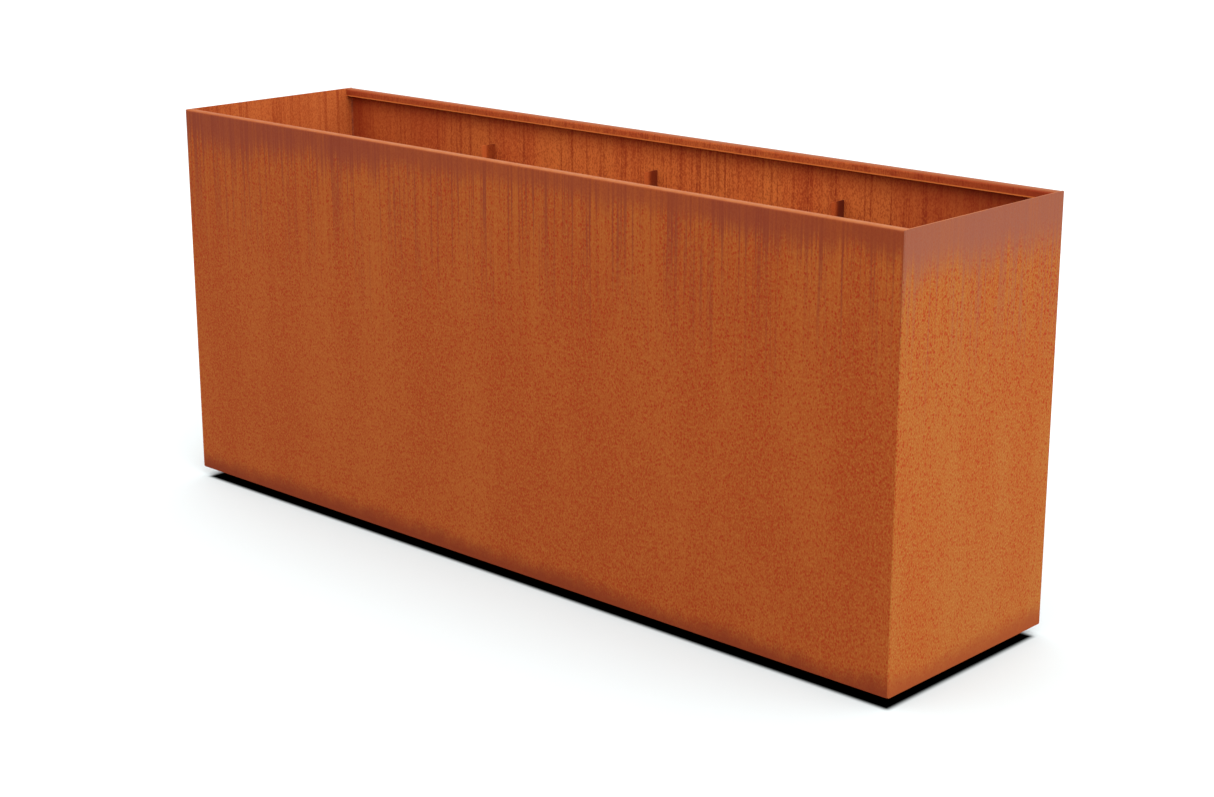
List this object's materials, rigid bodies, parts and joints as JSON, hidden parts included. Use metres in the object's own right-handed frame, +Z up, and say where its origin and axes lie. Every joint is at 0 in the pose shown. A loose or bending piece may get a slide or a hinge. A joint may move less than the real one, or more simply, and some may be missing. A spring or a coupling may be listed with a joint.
{
  "type": "planter box",
  "caption": "Long rectangular weathering-steel planter box, open at the top, with folded rims, inner ribs, a drained tray and levelling feet.",
  "frame": {"origin": "on the ground under the centre of the box", "axes": "+X along the box to its right end, +Y to its back, +Z up"},
  "size_m": [2, 0.494, 0.871],
  "materials": {
    "weathered_panel": "matte rusted weathering steel",
    "weathered_inside": "matte rusted weathering steel",
    "weathered_frame": "dark mill-scaled weathering steel",
    "zinc_nut": "dull zinc plate",
    "zinc_stud": "dull zinc plate",
    "pad_plastic": "moulded black polyamide"
  },
  "bodies": {
    "box": {"front_panel": "weathered_panel", "back_panel": "weathered_panel", "left_end_panel": "weathered_panel", "right_end_panel": "weathered_panel", "base_tray": "weathered_inside", "rib_front_left": "weathered_inside", "rib_front_centre": "weathered_inside", "rib_front_right": "weathered_inside", "rib_back_left": "weathered_inside", "rib_back_centre": "weathered_inside", "rib_back_right": "weathered_inside", "bearer_left": "weathered_frame", "bearer_centre": "weathered_frame", "bearer_right": "weathered_frame", "weld_nuts": "zinc_nut", "lock_nuts": "zinc_nut"},
    "pad_front_left": {"foot_pad_front_left": "pad_plastic"},
    "stud_front_left": {"foot_stud_front_left": "zinc_stud"},
    "pad_front_centre": {"foot_pad_front_centre": "pad_plastic"},
    "stud_front_centre": {"foot_stud_front_centre": "zinc_stud"},
    "pad_front_right": {"foot_pad_front_right": "pad_plastic"},
    "stud_front_right": {"foot_stud_front_right": "zinc_stud"},
    "pad_back_left": {"foot_pad_back_left": "pad_plastic"},
    "stud_back_left": {"foot_stud_back_left": "zinc_stud"},
    "pad_back_centre": {"foot_pad_back_centre": "pad_plastic"},
    "stud_back_centre": {"foot_stud_back_centre": "zinc_stud"},
    "pad_back_right": {"foot_pad_back_right": "pad_plastic"},
    "stud_back_right": {"foot_stud_back_right": "zinc_stud"}
  },
  "joints": [
    {"name": "raise_front_left", "type": "slide", "parent": "box", "child": "pad_front_left", "axis": [0, 0, -1], "range_m": [0, 0.015]},
    {"name": "turn_front_left", "type": "hinge", "parent": "pad_front_left", "child": "stud_front_left", "pos_m": [-0.85, -0.147, 0.03], "axis": [0, 0, -1], "range_deg": [0, 3085]},
    {"name": "raise_front_centre", "type": "slide", "parent": "box", "child": "pad_front_centre", "axis": [0, 0, -1], "range_m": [0, 0.015]},
    {"name": "turn_front_centre", "type": "hinge", "parent": "pad_front_centre", "child": "stud_front_centre", "pos_m": [0, -0.147, 0.03], "axis": [0, 0, -1], "range_deg": [0, 3085]},
    {"name": "raise_front_right", "type": "slide", "parent": "box", "child": "pad_front_right", "axis": [0, 0, -1], "range_m": [0, 0.015]},
    {"name": "turn_front_right", "type": "hinge", "parent": "pad_front_right", "child": "stud_front_right", "pos_m": [0.85, -0.147, 0.03], "axis": [0, 0, -1], "range_deg": [0, 3085]},
    {"name": "raise_back_left", "type": "slide", "parent": "box", "child": "pad_back_left", "axis": [0, 0, -1], "range_m": [0, 0.015]},
    {"name": "turn_back_left", "type": "hinge", "parent": "pad_back_left", "child": "stud_back_left", "pos_m": [-0.85, 0.147, 0.03], "axis": [0, 0, -1], "range_deg": [0, 3085]},
    {"name": "raise_back_centre", "type": "slide", "parent": "box", "child": "pad_back_centre", "axis": [0, 0, -1], "range_m": [0, 0.015]},
    {"name": "turn_back_centre", "type": "hinge", "parent": "pad_back_centre", "child": "stud_back_centre", "pos_m": [0, 0.147, 0.03], "axis": [0, 0, -1], "range_deg": [0, 3085]},
    {"name": "raise_back_right", "type": "slide", "parent": "box", "child": "pad_back_right", "axis": [0, 0, -1], "range_m": [0, 0.015]},
    {"name": "turn_back_right", "type": "hinge", "parent": "pad_back_right", "child": "stud_back_right", "pos_m": [0.85, 0.147, 0.03], "axis": [0, 0, -1], "range_deg": [0, 3085]}
  ],
  "couplings": [
    {"joint": "turn_front_left", "follows": "raise_front_left", "rad_per_m": 3590.4},
    {"joint": "turn_front_centre", "follows": "raise_front_centre", "rad_per_m": 3590.4},
    {"joint": "turn_front_right", "follows": "raise_front_right", "rad_per_m": 3590.4},
    {"joint": "turn_back_left", "follows": "raise_back_left", "rad_per_m": 3590.4},
    {"joint": "turn_back_centre", "follows": "raise_back_centre", "rad_per_m": 3590.4},
    {"joint": "turn_back_right", "follows": "raise_back_right", "rad_per_m": 3590.4}
  ]
}
